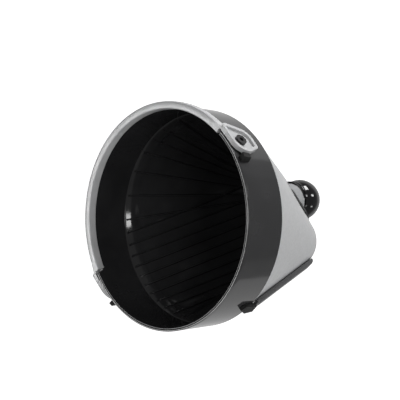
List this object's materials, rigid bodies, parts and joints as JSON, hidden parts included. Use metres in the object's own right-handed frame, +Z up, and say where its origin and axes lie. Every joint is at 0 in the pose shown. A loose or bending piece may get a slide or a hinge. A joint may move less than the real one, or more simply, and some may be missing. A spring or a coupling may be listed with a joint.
{
  "type": "coffee filter basket",
  "caption": "Wedge-shaped drip coffee filter basket with ribbed funnel, round collar, satin cover, folding bail handle and spring-closed drip stop outlet.",
  "frame": {"origin": "on the mouth's axis, in the plane of the collar's lower edge, which rests in the machine's carrier ring", "axes": "+Z up out of the mouth, -X towards the side where the folded bail lies, +X towards the guide rail, +Y along the bail's pivot line"},
  "size_m": [0.1266, 0.1312, 0.135],
  "materials": {
    "black_plastic": "gloss",
    "band_plastic": "gloss",
    "cover_silver": "satin",
    "rail_plastic": "satin",
    "dark_plastic": "satin",
    "stop_rubber": "matt",
    "handle_plastic": "satin",
    "valve_plastic": "satin",
    "steel": "bright"
  },
  "bodies": {
    "basket": {"filter_funnel": "black_plastic", "collar_band": "band_plastic", "cone_cover": "cover_silver", "base_plate": "black_plastic", "base_screw_1": "steel", "base_screw_2": "steel", "guide_rail": "rail_plastic", "latch_hook": "dark_plastic", "handle_stop_left": "stop_rubber", "handle_stop_right": "stop_rubber", "pivot_pin_left": "dark_plastic", "pivot_pin_right": "dark_plastic", "spout_pedestal": "cover_silver", "spout_gasket": "stop_rubber", "valve_housing": "black_plastic"},
    "bail": {"bail_handle": "handle_plastic"},
    "valve": {"valve_poppet": "valve_plastic", "valve_seal": "stop_rubber", "valve_foot": "valve_plastic", "valve_spring": "steel"}
  },
  "joints": [
    {"name": "bail_swing", "type": "hinge", "parent": "basket", "child": "bail", "pos_m": [0, 0, 0.0215], "axis": [0, 1, 0], "range_deg": [0, 100]},
    {"name": "valve_lift", "type": "slide", "parent": "basket", "child": "valve", "axis": [0, 0, 1], "range_m": [0, 0.0025], "stiffness_N_per_m": 300, "springref_m": -0.002, "deforming": ["valve_spring"]}
  ]
}
